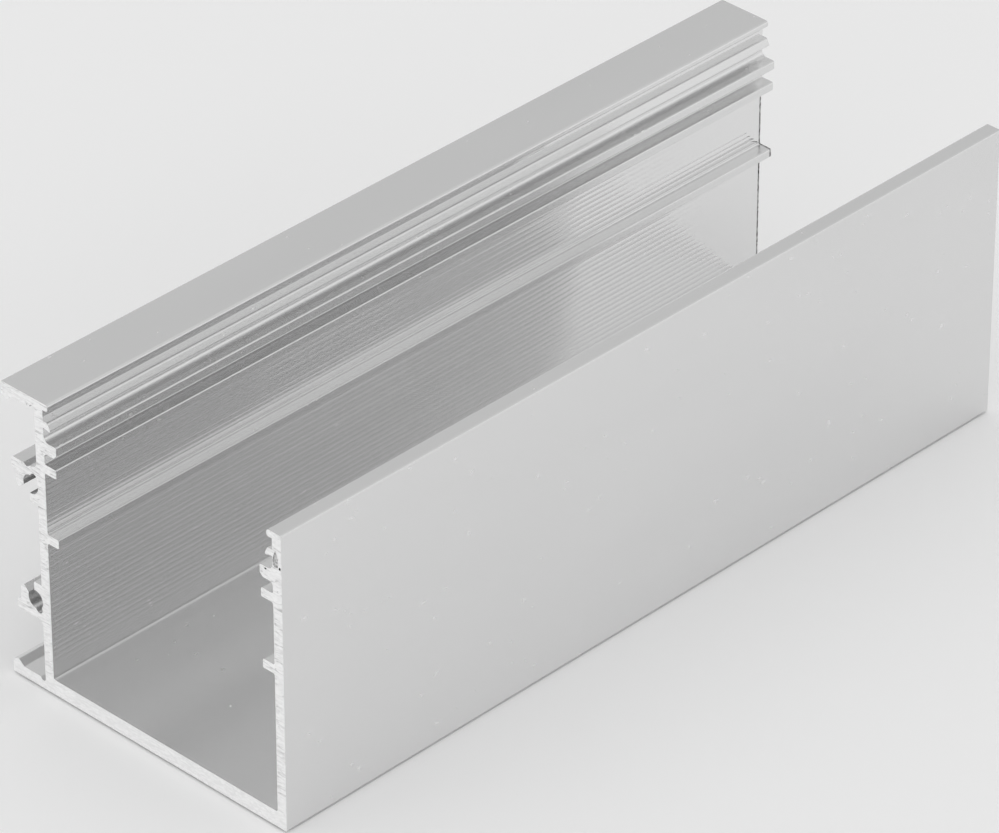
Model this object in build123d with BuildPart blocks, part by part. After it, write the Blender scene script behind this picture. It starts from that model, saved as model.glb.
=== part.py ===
"""Aluminium channel profile: a short sawn length of one extrusion.

X runs across the channel, Y along it and Z up. The origin is on the underside of the base,
midway between the walls and midway along the length.
"""

import os

from build123d import *

# Overall sizes, in millimetres
length = 98
inner_width = 30
height = 32.6
wall_thickness = 1.15
base_thickness = 1.7
corner_round = 0.15

# Retaining ribs on both inner faces, from the rim downwards
nose_reach = 0.7
nose_thickness = 0.75
nose_round = 0.3
cover_recess = 1.2
tooth_reach = 1.0
tooth_top_reach = 0.62
tooth_thickness = 0.9
tooth_hook = 0.2
tooth_crown = 0.25
tooth_round = 0.12
cover_hollow = 1.35
hollow_radius = 0.65
thick_rib_reach = 1.65
thick_rib_thickness = 1.3
thick_rib_chamfer = 0.4
slot_height = 1.2
slot_fillet = 0.4
rib_reach = 1.55
rib_thickness = 1.0
rib_round = 0.18
low_rib_reach = 1.5
low_rib_clearance = 15.4
root_round = 0.2

# Flange and base ledge outside the left wall
ledge_reach = 4.45
ledge_thickness = 1.15
bead_height = 0.62
bead_width = 1.5
bead_crest = 0.75
bead_shoulder = 0.2
bead_round = 0.2
groove_radius = 0.3

# Clips with screw ports outside the left wall
port_spacing = 12.9
port_radius = 1.0
port_offset = 0.9
port_mouth = 0.4
lobe_radius = 0.45
lobe_depth = 0.35
arm_thickness = 1.05
arm_gusset = 0.75
barb_reach = 0.55
barb_thickness = 1.0
barb_rise = 0.4
barb_round = 0.3
leg_thickness = 1.0
leg_height = 1.0
leg_chamfer = 0.42
leg_round = 0.12
nub_reach = 1.05
nub_thickness = 0.95
nub_round = 0.15
notch_width = 0.9
notch_depth = 0.28

# Levels and faces that follow from the sizes
half_inner = inner_width / 2
wall_outer = half_inner + wall_thickness
wall_middle = half_inner + wall_thickness / 2
mid_height = height / 2
nose_bottom = height - nose_thickness
tooth_top = nose_bottom - cover_recess
tooth_bottom = tooth_top - tooth_thickness
thick_rib_top = tooth_bottom - cover_hollow
thick_rib_bottom = thick_rib_top - thick_rib_thickness
rib_top = thick_rib_bottom - slot_height
low_rib_top = base_thickness + low_rib_clearance + rib_thickness
port_x = -wall_outer - port_offset
port_z = mid_height - port_spacing / 2
arm_bottom = port_z - port_radius - arm_thickness
leg_x = port_x - port_radius - leg_thickness
barb_x = leg_x - barb_reach


# Snap tooth of the right wall: a sloped face above a hooked underside
with BuildSketch() as tooth:
    with BuildLine():
        Polyline(
            (wall_middle, tooth_top),
            (half_inner - tooth_top_reach, tooth_top),
            (half_inner - tooth_reach, tooth_bottom),
            (half_inner, tooth_bottom + tooth_hook),
            (wall_middle, tooth_bottom + tooth_hook),
            close=True,
        )
    make_face()
    fillet(tooth.vertices().group_by(Axis.Y)[-1].sort_by(Axis.X)[0], tooth_crown)
    fillet(tooth.vertices().sort_by(Axis.X)[0], tooth_round)

# Thick rib of the right wall: it sweeps up to the wall in a hollow, and its lower tip is cut back
with BuildSketch() as thick_rib:
    with BuildLine():
        hollow = TangentArc(
            (half_inner - hollow_radius, thick_rib_top),
            (half_inner, thick_rib_top + hollow_radius),
            tangent=(1, 0),
        )
        slot_corner = TangentArc(
            (half_inner - slot_fillet, thick_rib_bottom),
            (half_inner, thick_rib_bottom - slot_fillet),
            tangent=(1, 0),
        )
        Polyline(
            hollow @ 0,
            (half_inner - thick_rib_reach, thick_rib_top),
            (half_inner - thick_rib_reach, thick_rib_bottom + thick_rib_chamfer),
            (half_inner - thick_rib_reach + thick_rib_chamfer, thick_rib_bottom),
            slot_corner @ 0,
        )
        Polyline(
            slot_corner @ 1,
            (wall_middle, thick_rib_bottom - slot_fillet),
            (wall_middle, thick_rib_top + hollow_radius),
            hollow @ 1,
        )
    make_face()
    fillet(thick_rib.vertices().group_by(Axis.X)[0].sort_by(Axis.Y)[-1], rib_round)

# Lower clip of the left wall: arm, barb and leg round the screw port
with BuildSketch() as clip:
    with BuildLine():
        gusset = TangentArc(
            (-wall_outer - arm_gusset, arm_bottom),
            (-wall_outer, arm_bottom - arm_gusset),
            tangent=(1, 0),
        )
        Polyline(
            gusset @ 0,
            (barb_x, arm_bottom),
            (barb_x, arm_bottom + barb_thickness),
            (leg_x, arm_bottom + barb_thickness + barb_rise),
            (leg_x, port_z + leg_height - leg_chamfer),
            (leg_x + leg_chamfer, port_z + leg_height),
            (port_x - port_radius, port_z + port_mouth),
            (port_x, port_z),
            (-wall_middle, port_z),
            (-wall_middle, arm_bottom - arm_gusset),
            gusset @ 1,
        )
    make_face()
    fillet(clip.vertices().group_by(Axis.X)[0], barb_round)
    fillet(clip.vertices().sort_by(Axis.Y)[-1], leg_round)

# Base ledge of the left wall, with the bead along its edge and the groove beside the wall
with BuildSketch() as ledge:
    with Locations((-wall_outer, 0)):
        Rectangle(ledge_reach, ledge_thickness, align=(Align.MAX, Align.MIN))
    with BuildLine(Location((-wall_outer - ledge_reach, ledge_thickness))):
        Polyline((0, 0), (0, bead_shoulder), (bead_crest, bead_height), (bead_width, 0), close=True)
    make_face()
    fillet(ledge.vertices().sort_by(Axis.Y)[-1], bead_round)
    with Locations((-wall_outer - groove_radius, ledge_thickness)):
        Circle(groove_radius, mode=Mode.SUBTRACT)

with BuildPart() as channel_profile:
    with BuildSketch(Plane.XZ) as section:
        # Right half of the channel and its ribs, mirrored to the left
        Rectangle(wall_outer, base_thickness, align=(Align.MIN, Align.MIN))
        with Locations((half_inner, 0)):
            Rectangle(wall_thickness, height, align=(Align.MIN, Align.MIN))
        for reach, top, thickness, tip_round in (
            (nose_reach, height, nose_thickness, nose_round),
            (rib_reach, rib_top, rib_thickness, rib_round),
            (low_rib_reach, low_rib_top, rib_thickness, rib_round),
        ):
            root_reach = reach + wall_thickness / 2
            with Locations((half_inner - reach, top)):
                RectangleRounded(root_reach, thickness, tip_round, align=(Align.MIN, Align.MAX))
        add(tooth.sketch)
        add(thick_rib.sketch)
        roots = section.vertices().group_by(Axis.X).group(half_inner)
        fillet(roots.filter_by_position(Axis.Y, base_thickness, rib_top), root_round)
        mirror(about=Plane.YZ)

        # Outside of the left wall: ledge, clip and nub, mirrored about half the height
        with BuildSketch(mode=Mode.PRIVATE) as outside:
            add(ledge.sketch)
            add(clip.sketch)
            with Locations((-wall_middle, port_z + port_radius + nub_thickness)):
                RectangleRounded(
                    nub_reach + wall_thickness / 2,
                    port_radius + nub_thickness,
                    nub_round,
                    align=(Align.MAX, Align.MAX),
                )
        add(outside.sketch)
        mirror(outside.sketch, about=Plane.XZ.offset(-mid_height))

        # Screw ports, with a lobe beside the wall, and the drill notch in the upper arm
        for side in (-1, 1):
            with Locations((port_x, mid_height + side * port_spacing / 2)):
                Circle(port_radius, mode=Mode.SUBTRACT)
            lobe_level = port_spacing / 2 + port_radius + lobe_depth - lobe_radius
            with Locations((-wall_outer - lobe_radius, mid_height + side * lobe_level)):
                Circle(lobe_radius, mode=Mode.SUBTRACT)
        with BuildLine(Location((port_x - notch_width / 2, height - arm_bottom))):
            Polyline((-notch_width / 2, 0), (0, -notch_depth), (notch_width / 2, 0), close=True)
        make_face(mode=Mode.SUBTRACT)

        # Outer corners of the base and the rims
        levels = section.vertices().group_by(Axis.Y)
        bottom, top = levels[0].sort_by(Axis.X), levels[-1].sort_by(Axis.X)
        fillet([bottom[0], bottom[-1], top[0], top[-1]], corner_round)
    extrude(amount=length / 2, both=True)

channel_profile.part.label = "channel_profile"

os.makedirs("parts", exist_ok=True)
export_step(channel_profile.part, "parts/channel_profile.step")
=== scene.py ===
"""Looks of the aluminium channel profile: a dressed copy of the extrusion with fine lengthwise reeds on
its inner walls, satin anodised faces and bright sawn ends, on a plain pale floor."""

import math

import bmesh
import bpy
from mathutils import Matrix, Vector
from mathutils.geometry import delaunay_2d_cdt


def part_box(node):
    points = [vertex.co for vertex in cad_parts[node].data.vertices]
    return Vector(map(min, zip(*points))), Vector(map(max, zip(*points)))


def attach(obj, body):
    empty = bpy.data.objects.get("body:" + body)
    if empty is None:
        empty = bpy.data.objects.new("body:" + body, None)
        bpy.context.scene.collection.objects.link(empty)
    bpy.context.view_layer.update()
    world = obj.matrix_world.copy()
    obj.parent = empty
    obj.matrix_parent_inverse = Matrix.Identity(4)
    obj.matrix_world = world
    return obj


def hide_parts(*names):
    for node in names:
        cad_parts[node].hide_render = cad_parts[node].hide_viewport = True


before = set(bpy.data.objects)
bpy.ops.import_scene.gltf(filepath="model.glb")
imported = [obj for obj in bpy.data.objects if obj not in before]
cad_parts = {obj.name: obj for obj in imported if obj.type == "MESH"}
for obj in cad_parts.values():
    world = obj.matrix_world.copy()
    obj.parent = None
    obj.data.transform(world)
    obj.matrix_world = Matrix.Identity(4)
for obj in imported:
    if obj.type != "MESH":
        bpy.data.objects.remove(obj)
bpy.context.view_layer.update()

MM = 0.001
NODE = "channel_profile"

# Distances below which two points, or two levels, count as one
SAME_POINT = 0.0001 * MM
SAME_LEVEL = 0.001 * MM

# Inner faces of the walls, the floor of the channel, and the round roots between them
WALL_FACE = 15.0 * MM
FLOOR_LEVEL = 1.7 * MM
ROOT_ROUND = 0.27 * MM
ROOT_STEPS = 6

# Fine reeds on the inner wall faces: each band has the level of its lowest valley and a number of reeds
REED_BANDS = ((3.34 * MM, 23), (18.41 * MM, 10))
REED_PITCH = 0.581 * MM
REED_DEPTH = 0.022 * MM
REED_STEPS = 16
REED_POWER = 2
REED_LEAD = 0.05 * MM

# Valleys between the reeds: shallower low on the wall, and uneven in a way that doesn't repeat
SHALLOW_SHARE = 0.1
FULL_DEPTH_LEVEL = 14.0 * MM
LEAST_DEPTH = 0.75
DEPTH_SPREAD = 0.5
UNEVEN_STEP = 0.618
DEEPEST_VALLEY = REED_DEPTH * (LEAST_DEPTH + DEPTH_SPREAD)

# Edges: broken edge round the sawn ends, and margin that keeps flats flat
SAWN_EDGE = 0.03 * MM
FLAT_MARGIN = 0.05 * MM
SHORTEST_FLAT = 0.25 * MM
MITRE_LIMIT = 0.5
SHARP_ANGLE = math.radians(50)

# Filling of the sawn ends: triangles inside the rim only, and a tolerance in millimetres
INSIDE_RIM = 1
FILL_TOLERANCE = 1e-6

# Dark dashed strip at the back end, along the inside of the left wall
DARK_STRIP_WIDTH = 0.24 * MM
DARK_STRIP_LEFT = -15.15 * MM
DARK_STRIP_RIGHT = -13.35 * MM
DARK_STRIP_TOP = 24.0 * MM

# Looks of the body's faces, as material places
SKIN, DRAWN_LIGHTER, SAWN, DARK_STRIP, BROKEN, PIT_PAINTED_DARK = range(6)

# Chip and pits in the front end of the right wall: rim points (x, z) and depth in millimetres, and look.
# The pits' near-black look is painted shade in the holes.
CHIPS = (
    (
        (
            (15.45, 30.75),
            (15.2, 30.2),
            (15.07, 29.6),
            (15.09, 29.1),
            (15.3, 28.9),
            (15.72, 29.0),
            (15.8, 29.5),
            (15.66, 30.2),
        ),
        0.15,
        BROKEN,
    ),
    (((13.98, 28.14), (14.22, 28.12), (14.26, 28.3), (14.05, 28.32)), 0.5, PIT_PAINTED_DARK),
    (((15.84, 28.88), (16.06, 28.84), (16.09, 29.1), (15.9, 29.16)), 0.5, PIT_PAINTED_DARK),
)
CHIP_SLOPE = 0.3

# Noise: its mean, and the middle part where most of its values lie
NOISE_MEAN = 0.5
NOISE_MIDDLE = (0.3, 0.7)
FULL_RANGE = (0.0, 1.0)

# Anodised skin: how far its lines, clouds and specks change its shade and its roughness
LINE_SHADE = 0.004
CLOUD_SHADE = 0.01
CLOUD_ROUGHNESS = 0.02
SPECK_RANGE = (0.85, 0.86)
SPECK_SHADE = 0.1
SPECK_ROUGHNESS = 0.2
SKIN_METALLIC = 0.97
LINE_HEIGHT = 0.0005 * MM
LINE_STRENGTH = 0.2

# Sawn face: the part of each noise that makes a mark, and the shades of the marks
SCRATCH_RANGE = (0.004, 0.022)
SCRATCH_SHADES = (0.68, 1.0)
STREAK_RANGE = (0.34, 0.46)
STREAK_SHADES = (0.87, 1.0)
MOTTLE_RANGE = (0.3, 0.6)
MOTTLE_SHADES = (0.86, 0.98)
DARKEST_ON_BASE = 0.87
DARKEST_ON_WALLS = 0.5
SAWN_ROUGHNESS = (0.45, 0.6)
SAWN_METALLIC = 0.12
SCRATCH_HEIGHT = 0.02 * MM
SCRATCH_STRENGTH = 0.4

# Dark strip at the back end, broken metal, and the pits, whose near-black colour is painted shade
GRAIN_RANGE = (0.42, 0.58)
GRAIN_ROUGHNESS = 0.1
GRAIN_HEIGHT = 0.02 * MM
GRAIN_STRENGTH = 0.6

# Pale floor just below the part
FLOOR_HALF_WIDTH = 3.0
FLOOR_DROP = 0.2 * MM
FLOOR_SHADE = 0.96

# Light of the surroundings by height: bright from the horizon up, then a greyer ring, and pale overhead
SKY_LEVELS = ((0.0, 0.85), (0.38, 1.0), (0.45, 0.5), (0.53, 0.72), (0.66, 0.62), (1.0, 0.95))

# The bright part reaches higher on the right, and the light is a little stronger there
SKY_LEAN = 0.2
SKY_SIDES = (-1.0, 1.0)
SKY_STRENGTHS = (0.92, 1.08)

# Large soft lamps: name, place and width in metres, and power in watts
LAMPS = (
    ("soft_box", (0.1, -0.1, 1.0), 0.6, 0.25),
    ("front_soft_box", (-0.3, -1.0, 0.4), 2.2, 2.6),
)

# Camera at the photograph's viewing angle, with its sensor and lens in millimetres
CAMERA_PLACE = (0.38250, -0.39957, 0.37681)
CAMERA_AZIMUTH = math.radians(44.064)
CAMERA_ELEVATION = math.radians(33.192)
CAMERA_SENSOR = 36.0
CAMERA_LENS = 248.76
CAMERA_REACH = 10

# Bounces of light that the facing walls need
DIFFUSE_BOUNCES = 6
GLOSSY_BOUNCES = 10


def section_outline(node):
    """The points (x, z) round the section, in order, read from the end face of the CAD node."""
    bm = bmesh.new()
    bm.from_mesh(node.data)
    bmesh.ops.remove_doubles(bm, verts=bm.verts, dist=SAME_POINT)
    end = min(v.co.y for v in bm.verts)
    flat = {f for f in bm.faces if all(abs(v.co.y - end) < SAME_LEVEL for v in f.verts)}
    rim = [e for e in bm.edges if sum(f in flat for f in e.link_faces) == 1]
    beside = {}
    for e in rim:
        a, b = e.verts
        beside.setdefault(a, []).append(b)
        beside.setdefault(b, []).append(a)
    first = min(beside, key=lambda v: (v.co.z, v.co.x))
    loop, last, here = [first], None, first
    while True:
        onward = next(v for v in beside[here] if v is not last)
        if onward is first:
            break
        loop.append(onward)
        last, here = here, onward
    points = [(v.co.x, v.co.z) for v in loop]
    bm.free()
    area = sum(a[0] * b[1] - b[0] * a[1] for a, b in zip(points, points[1:] + points[:1]))
    return points if area > 0 else points[::-1]


def root_arc(side):
    """Points (x, z) of the round root on one side of the floor, in the order of the outline."""
    turns = [math.pi / 2 * i / ROOT_STEPS for i in range(ROOT_STEPS + 1)]
    arc = []
    for turn in turns if side > 0 else reversed(turns):
        from_wall = ROOT_ROUND * (1 - math.cos(turn))
        from_floor = ROOT_ROUND * (1 - math.sin(turn))
        arc.append((side * (WALL_FACE - from_wall), FLOOR_LEVEL + from_floor))
    return arc


def eased_roots(points):
    """The outline with its two floor roots drawn as finer arcs, so that each shows its line of light."""
    out, last_root = [], 0
    for x, z in points:
        by_wall = -SAME_LEVEL < WALL_FACE - abs(x) < ROOT_ROUND
        by_floor = -SAME_LEVEL < z - FLOOR_LEVEL < ROOT_ROUND
        root = math.copysign(1, x) if by_wall and by_floor else 0
        if not root:
            out.append((x, z))
        elif root != last_root:
            out += root_arc(root)
        last_root = root
    return out


def with_margins(points):
    """The outline with a point near each end of its flats, so that shading bends only at the edges."""
    out = []
    for start, end in zip(points, points[1:] + points[:1]):
        out.append(start)
        along = Vector(end) - Vector(start)
        if along.length > SHORTEST_FLAT:
            step = along.normalized() * FLAT_MARGIN
            out.append(tuple(Vector(start) + step))
            out.append(tuple(Vector(end) - step))
    return out


def valley_depth(level, i):
    """Depth of one valley between reeds: less low on the wall, and a little uneven."""
    share = min(1.0, SHALLOW_SHARE + (1 - SHALLOW_SHARE) * level / FULL_DEPTH_LEVEL)
    return REED_DEPTH * share * (LEAST_DEPTH + DEPTH_SPREAD * (i * UNEVEN_STEP % 1))


def reed_band(x, lowest, count):
    """Points (x, z) of one band from its lowest valley up: gently rounded reeds with sharp valleys
    between them."""
    into_wall = math.copysign(1, x)
    band = [(x, lowest - REED_LEAD)]
    for i in range(count * REED_STEPS + 1):
        reed, step = divmod(i, REED_STEPS)
        across = 2 * step / REED_STEPS - 1
        level = lowest + i / REED_STEPS * REED_PITCH
        dip = valley_depth(level, reed if across < 0 else reed + 1) * abs(across) ** REED_POWER
        band.append((x + into_wall * dip, level))
    band.append((x, lowest + count * REED_PITCH + REED_LEAD))
    return band


def reeded(points):
    """The outline with the bands of reeds, and the places of the valleys between them."""
    out, creases = [], set()
    for (x0, z0), (x1, z1) in zip(points, points[1:] + points[:1]):
        out.append((x0, z0))
        if abs(abs(x0) - WALL_FACE) > SAME_LEVEL or abs(x1 - x0) > SAME_LEVEL:
            continue
        for lowest, count in REED_BANDS:
            if min(z0, z1) > lowest or max(z0, z1) < lowest + count * REED_PITCH:
                continue
            band = reed_band(x0, lowest, count)
            last = len(band) - 1
            first = len(out)
            creases |= {first, first + last}
            creases |= {first + i for i in range(1, last, REED_STEPS)}
            out += band if z1 > z0 else band[::-1]
    return out, creases


def inset(points, by):
    """The outline moved inwards by that much, mitred at its corners."""
    out = []
    count = len(points)
    for i in range(count):
        before, here, after = (Vector(points[(i + k) % count]) for k in (-1, 0, 1))
        a = (here - before).normalized()
        b = (after - here).normalized()
        normal = Vector((-a.y - b.y, a.x + b.x)).normalized()
        lean = max(normal.dot(Vector((-a.y, a.x))), MITRE_LIMIT)
        out.append(tuple(here + normal * (by / lean)))
    return out


def cap_triangles(points, count, edges):
    """Triangles that fill the outline, as places in the list of points. The outline is the first count
    of the points, and the edges join the points inside it."""
    flat = [Vector(p) / MM for p in points]
    rim = [(i, (i + 1) % count) for i in range(count)]
    _, _, faces, sources, _, _ = delaunay_2d_cdt(flat, rim + edges, [], INSIDE_RIM, FILL_TOLERANCE)
    return [[min(sources[c]) for c in face] for face in faces]


def has_dark_strip(x, z):
    """Whether that stretch of the back end gets the dark strip: the inside of the left wall up to the
    rib.
    """
    return DARK_STRIP_LEFT < x < DARK_STRIP_RIGHT and z < DARK_STRIP_TOP


def is_wall_face(x):
    """Whether that level across belongs to the inner face of a wall, which the die draws smoother and
    which gets a lighter shade as painted light.
    """
    return -SAME_LEVEL < abs(x) - WALL_FACE < DEEPEST_VALLEY + SAME_LEVEL


def strip_look(strip, start, end):
    """Look of one face of a strip, between two neighbouring points of the outline."""
    if strip == DARK_STRIP and not has_dark_strip(*start):
        strip = SKIN
    # Inner wall faces take the smoother skin, whose lighter shade is painted light for the shaded inside
    if strip == SKIN and is_wall_face(start[0]) and is_wall_face(end[0]):
        strip = DRAWN_LIGHTER
    return strip


def close_front(bm, ring, points, y):
    """The sawn face at the front end, with the chip and the pits sunk into it."""
    verts = list(ring)
    looks = [SAWN] * len(ring)
    inner, edges = [], []
    for rim, depth, look in CHIPS:
        count = len(rim)
        middle = (sum(x for x, _ in rim) / count, sum(z for _, z in rim) / count)
        floor_rim = [(x + (middle[0] - x) * CHIP_SLOPE, z + (middle[1] - z) * CHIP_SLOPE) for x, z in rim]
        for loop, sunk, shown in ((rim, 0, SAWN), (floor_rim, depth, look)):
            start = len(verts)
            for x, z in loop:
                inner.append((x * MM, z * MM))
                verts.append(bm.verts.new((x * MM, y + sunk * MM, z * MM)))
                looks.append(shown)
            edges += [(start + i, start + (i + 1) % count) for i in range(count)]
    for corners in cap_triangles(points + inner, len(ring), edges):
        face = bm.faces.new([verts[c] for c in corners])
        face.material_index = max(looks[c] for c in corners)


def close_back(bm, ring, points):
    """The plain sawn face at the back end."""
    for corners in cap_triangles(points, len(ring), []):
        face = bm.faces.new([ring[c] for c in corners])
        face.material_index = SAWN


def shade_edges(bm, rings, creases):
    """Smooth shading, but sharp at corners, round the rings and in the valleys of the reeds."""
    for face in bm.faces:
        face.smooth = True
    for edge in bm.edges:
        edge.smooth = edge.calc_face_angle(0.0) < SHARP_ANGLE
    for ring in rings:
        for a, b in zip(ring, ring[1:] + ring[:1]):
            bm.edges.get((a, b)).smooth = False
    for front, back in zip(rings, rings[1:]):
        for i in creases:
            bm.edges.get((front[i], back[i])).smooth = False


def add_object(name, data):
    """A new object in the scene that shows this data."""
    made = bpy.data.objects.new(name, data)
    bpy.context.scene.collection.objects.link(made)
    return made


def make_profile():
    """The whole extrusion as one closed mesh: skin along the length, sawn faces at the ends."""
    lo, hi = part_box(NODE)
    outline, creases = reeded(with_margins(eased_roots(section_outline(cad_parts[NODE]))))
    small = inset(outline, SAWN_EDGE)
    count = len(outline)
    bm = bmesh.new()
    rings = []
    for y, points in (
        (lo.y, small),
        (lo.y + SAWN_EDGE, outline),
        (hi.y - DARK_STRIP_WIDTH, outline),
        (hi.y - SAWN_EDGE, outline),
        (hi.y, small),
    ):
        rings.append([bm.verts.new((x, y, z)) for x, z in points])
    for front, back, strip in zip(rings, rings[1:], (SAWN, SKIN, DARK_STRIP, SAWN)):
        for i in range(count):
            j = (i + 1) % count
            face = bm.faces.new((front[i], front[j], back[j], back[i]))
            face.material_index = strip_look(strip, outline[i], outline[j])
    close_front(bm, rings[0], small, lo.y)
    close_back(bm, rings[-1], small)
    bmesh.ops.recalc_face_normals(bm, faces=bm.faces)
    shade_edges(bm, rings, creases)
    mesh = bpy.data.meshes.new("channel_body")
    bm.to_mesh(mesh)
    bm.free()
    return add_object("channel_body", mesh)


def material(name):
    """A new material with its node tree and its shader."""
    made = bpy.data.materials.new(name)
    made.use_nodes = True
    tree = made.node_tree
    shader = next(n for n in tree.nodes if n.type == "BSDF_PRINCIPLED")
    return made, tree, shader


def coordinates(tree, space):
    """The coordinates X, Y and Z of the shaded point, or of the direction in the world."""
    where = tree.nodes.new("ShaderNodeTexCoord")
    split = tree.nodes.new("ShaderNodeSeparateXYZ")
    tree.links.new(where.outputs[space], split.inputs["Vector"])
    return split.outputs


def noise(tree, scale, detail, stretch=(1, 1, 1)):
    """Noise in the object's own frame, finer or coarser along each axis."""
    where = tree.nodes.new("ShaderNodeTexCoord")
    sized = tree.nodes.new("ShaderNodeVectorMath")
    sized.operation = "MULTIPLY"
    sized.inputs[1].default_value = stretch
    grain = tree.nodes.new("ShaderNodeTexNoise")
    grain.inputs["Scale"].default_value = scale
    grain.inputs["Detail"].default_value = detail
    tree.links.new(where.outputs["Object"], sized.inputs[0])
    tree.links.new(sized.outputs[0], grain.inputs["Vector"])
    return grain.outputs["Fac"]


def remap(tree, value, source, target):
    """The value carried from one range to another, held at its ends."""
    span = tree.nodes.new("ShaderNodeMapRange")
    span.inputs["From Min"].default_value, span.inputs["From Max"].default_value = source
    span.inputs["To Min"].default_value, span.inputs["To Max"].default_value = target
    tree.links.new(value, span.inputs["Value"])
    return span.outputs["Result"]


def maths(tree, kind, *values):
    """The result of one operation on numbers and node outputs."""
    node = tree.nodes.new("ShaderNodeMath")
    node.operation = kind
    for socket, value in zip(node.inputs, values):
        if isinstance(value, (int, float)):
            socket.default_value = value
        else:
            tree.links.new(value, socket)
    return node.outputs[0]


def bump(tree, shader, height, distance, strength):
    """Fine relief of the shaded surface."""
    raised = tree.nodes.new("ShaderNodeBump")
    raised.inputs["Distance"].default_value = distance
    raised.inputs["Strength"].default_value = strength
    tree.links.new(height, raised.inputs["Height"])
    tree.links.new(raised.outputs["Normal"], shader.inputs["Normal"])


def anodised(name, level, rough, spread):
    """Satin anodised skin: faint die lines along the length, which spread reflections across them,
    a slight cloudiness and a few pale specks."""
    made, tree, shader = material(name)
    lines = noise(tree, scale=5000.0, stretch=(1, 0.0006, 1), detail=3.0)
    cloud = noise(tree, scale=70.0, stretch=(1, 0.4, 1), detail=2.0)
    grains = noise(tree, scale=2200.0, stretch=(1, 0.5, 1), detail=0.0)
    speck = remap(tree, grains, SPECK_RANGE, FULL_RANGE)
    line_shade = remap(tree, lines, NOISE_MIDDLE, (-LINE_SHADE, LINE_SHADE))
    cloud_shade = remap(tree, cloud, NOISE_MIDDLE, (level - CLOUD_SHADE, level + CLOUD_SHADE))
    shade = maths(tree, "ADD", line_shade, cloud_shade)
    shade = maths(tree, "ADD", shade, maths(tree, "MULTIPLY", speck, SPECK_SHADE))
    tree.links.new(shade, shader.inputs["Base Color"])
    dullness = remap(tree, cloud, NOISE_MIDDLE, (rough, rough + CLOUD_ROUGHNESS))
    dullness = maths(tree, "ADD", dullness, maths(tree, "MULTIPLY", speck, SPECK_ROUGHNESS))
    tree.links.new(dullness, shader.inputs["Roughness"])
    shader.inputs["Metallic"].default_value = SKIN_METALLIC
    across = tree.nodes.new("ShaderNodeTangent")
    across.direction_type = "RADIAL"
    across.axis = "Y"
    tree.links.new(across.outputs[0], shader.inputs["Tangent"])
    shader.inputs["Anisotropic"].default_value = spread
    bump(tree, shader, lines, LINE_HEIGHT, LINE_STRENGTH)
    return made


def sawn():
    """Bright sawn face: thin grey scratches and soft streaks of the saw across it, over a fine mottling.
    The base is cut cleaner than the walls."""
    made, tree, shader = material("sawn_aluminium")
    ridges = noise(tree, scale=2600.0, stretch=(0.12, 0.12, 1), detail=1.0)
    away = maths(tree, "ABSOLUTE", maths(tree, "SUBTRACT", ridges, NOISE_MEAN))
    scratches = remap(tree, away, SCRATCH_RANGE, FULL_RANGE)
    bands = noise(tree, scale=6500.0, stretch=(0.13, 0.13, 1), detail=1.0)
    streaks = remap(tree, bands, STREAK_RANGE, STREAK_SHADES)
    mottle = noise(tree, scale=5000.0, stretch=(0.45, 1, 1), detail=3.0)
    shade = maths(tree, "MULTIPLY", streaks, remap(tree, scratches, FULL_RANGE, SCRATCH_SHADES))
    shade = maths(tree, "MULTIPLY", shade, remap(tree, mottle, MOTTLE_RANGE, MOTTLE_SHADES))
    height = coordinates(tree, "Object")["Z"]
    above_base = (FLOOR_LEVEL, 2 * FLOOR_LEVEL)
    darkest = remap(tree, height, above_base, (DARKEST_ON_BASE, DARKEST_ON_WALLS))
    shade = maths(tree, "MAXIMUM", shade, darkest)
    tree.links.new(shade, shader.inputs["Base Color"])
    tree.links.new(remap(tree, mottle, NOISE_MIDDLE, SAWN_ROUGHNESS), shader.inputs["Roughness"])
    shader.inputs["Metallic"].default_value = SAWN_METALLIC
    bump(tree, shader, scratches, SCRATCH_HEIGHT, SCRATCH_STRENGTH)
    return made


def speckled(name, scale, shades, rough):
    """A dull face of uneven shade, for the dark strip at the back end, broken metal and the pits, whose
    near-black colour is painted shade.
    """
    made, tree, shader = material(name)
    grain = noise(tree, scale, detail=3.0)
    tree.links.new(remap(tree, grain, GRAIN_RANGE, shades), shader.inputs["Base Color"])
    dullness = remap(tree, grain, GRAIN_RANGE, (rough, rough + GRAIN_ROUGHNESS))
    tree.links.new(dullness, shader.inputs["Roughness"])
    bump(tree, shader, grain, GRAIN_HEIGHT, GRAIN_STRENGTH)
    return made


def make_floor():
    """Plain pale floor without gloss."""
    half = FLOOR_HALF_WIDTH
    corners = [(-half, -half, 0), (half, -half, 0), (half, half, 0), (-half, half, 0)]
    mesh = bpy.data.meshes.new("floor")
    mesh.from_pydata(corners, [], [(0, 1, 2, 3)])
    made, _, shader = material("white_floor")
    shader.inputs["Base Color"].default_value = (FLOOR_SHADE, FLOOR_SHADE, FLOOR_SHADE, 1)
    shader.inputs["Roughness"].default_value = 1.0
    shader.inputs["Specular IOR Level"].default_value = 0.0
    mesh.materials.append(made)
    floor = add_object("floor", mesh)
    floor.location.z = -FLOOR_DROP
    return floor


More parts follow.
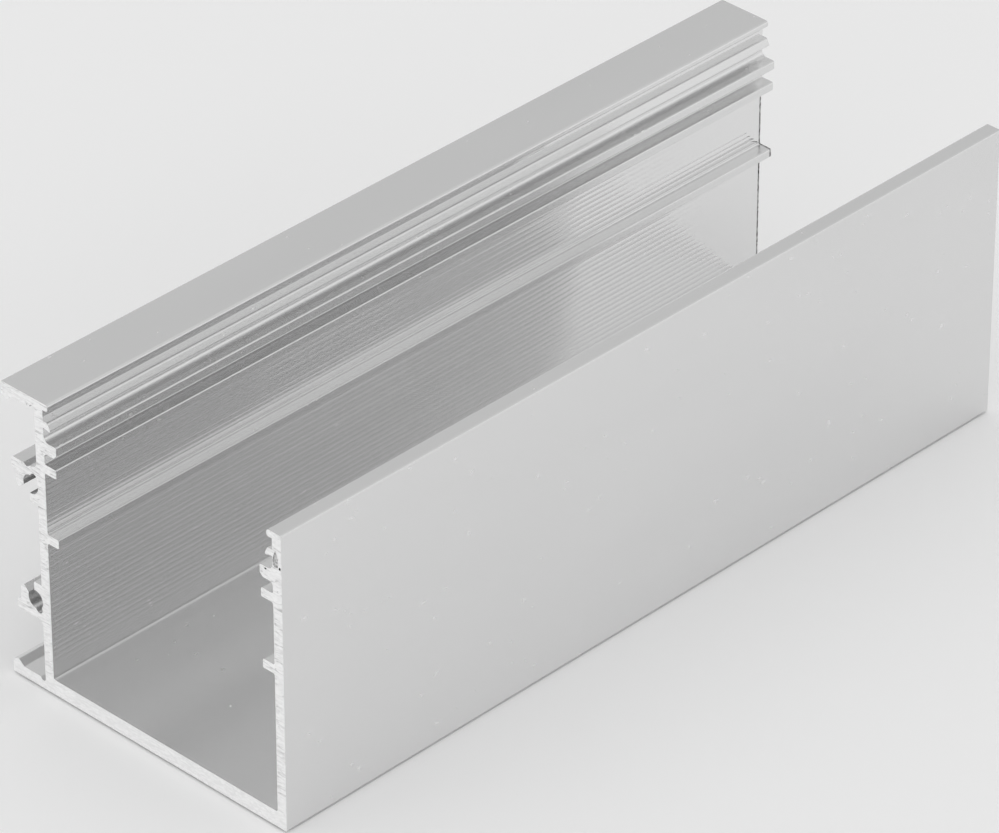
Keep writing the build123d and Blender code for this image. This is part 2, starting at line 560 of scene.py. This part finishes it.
def make_surroundings():
    """Pale surroundings, which the metal reflects."""
    world = bpy.data.worlds.new("studio")
    bpy.context.scene.world = world
    world.use_nodes = True
    tree = world.node_tree
    sky = next(n for n in tree.nodes if n.type == "BACKGROUND")
    direction = coordinates(tree, "Generated")
    fade = tree.nodes.new("ShaderNodeValToRGB")
    fade.color_ramp.interpolation = "EASE"
    steps = fade.color_ramp.elements
    for height, _ in SKY_LEVELS[1:-1]:
        steps.new(height)
    for step, (_, level) in zip(steps, SKY_LEVELS):
        step.color = (level, level, level, 1)
    leaning = maths(tree, "MULTIPLY_ADD", direction["X"], -SKY_LEAN, direction["Z"])
    tree.links.new(leaning, fade.inputs["Fac"])
    tree.links.new(fade.outputs["Color"], sky.inputs["Color"])
    strength = remap(tree, direction["X"], SKY_SIDES, SKY_STRENGTHS)
    tree.links.new(strength, sky.inputs["Strength"])


def turn_towards(thing, direction):
    """Turn a lamp or the camera so that it points that way."""
    thing.rotation_mode = "QUATERNION"
    thing.rotation_quaternion = direction.to_track_quat("-Z", "Y")


def make_lamps():
    """Soft lamps that face the part."""
    for name, place, width, power in LAMPS:
        light = bpy.data.lights.new(name, "AREA")
        light.size = width
        light.energy = power
        lamp = add_object(name, light)
        lamp.location = place
        turn_towards(lamp, -lamp.location)


def make_camera():
    """Camera that looks down on the channel from the front right."""
    view = bpy.data.cameras.new("camera")
    view.sensor_width = CAMERA_SENSOR
    view.lens = CAMERA_LENS
    view.clip_end = CAMERA_REACH
    camera = add_object("camera", view)
    camera.location = CAMERA_PLACE
    level_reach = math.cos(CAMERA_ELEVATION)
    across = -math.sin(CAMERA_AZIMUTH) * level_reach
    along = math.cos(CAMERA_AZIMUTH) * level_reach
    turn_towards(camera, Vector((across, along, -math.sin(CAMERA_ELEVATION))))
    bpy.context.scene.camera = camera


body = make_profile()
for made in (
    anodised("anodised_skin", level=0.79, rough=0.23, spread=0.75),
    # Inner wall faces: smoother than the skin, and a lighter shade that is painted light brightening the
    # shaded inside of the channel
    anodised("drawn_skin_painted_lighter", level=0.84, rough=0.04, spread=0.0),
    sawn(),
    # Dark dashed strip along the back edge of the left wall
    speckled("dark_back_strip", scale=3200.0, shades=(0.03, 0.5), rough=0.5),
    speckled("broken_metal", scale=4500.0, shades=(0.25, 0.72), rough=0.5),
    # Pits: near-black colour that is painted shade in the deep holes
    speckled("pit_painted_shade", scale=4000.0, shades=(0.01, 0.03), rough=0.7),
):
    body.data.materials.append(made)
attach(body, "root")
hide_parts(NODE)

floor = make_floor()
make_surroundings()
make_lamps()
make_camera()

bpy.context.scene.view_settings.view_transform = "Standard"
bpy.context.scene.cycles.diffuse_bounces = DIFFUSE_BOUNCES
bpy.context.scene.cycles.glossy_bounces = GLOSSY_BOUNCES

bpy.context.view_layer.update()
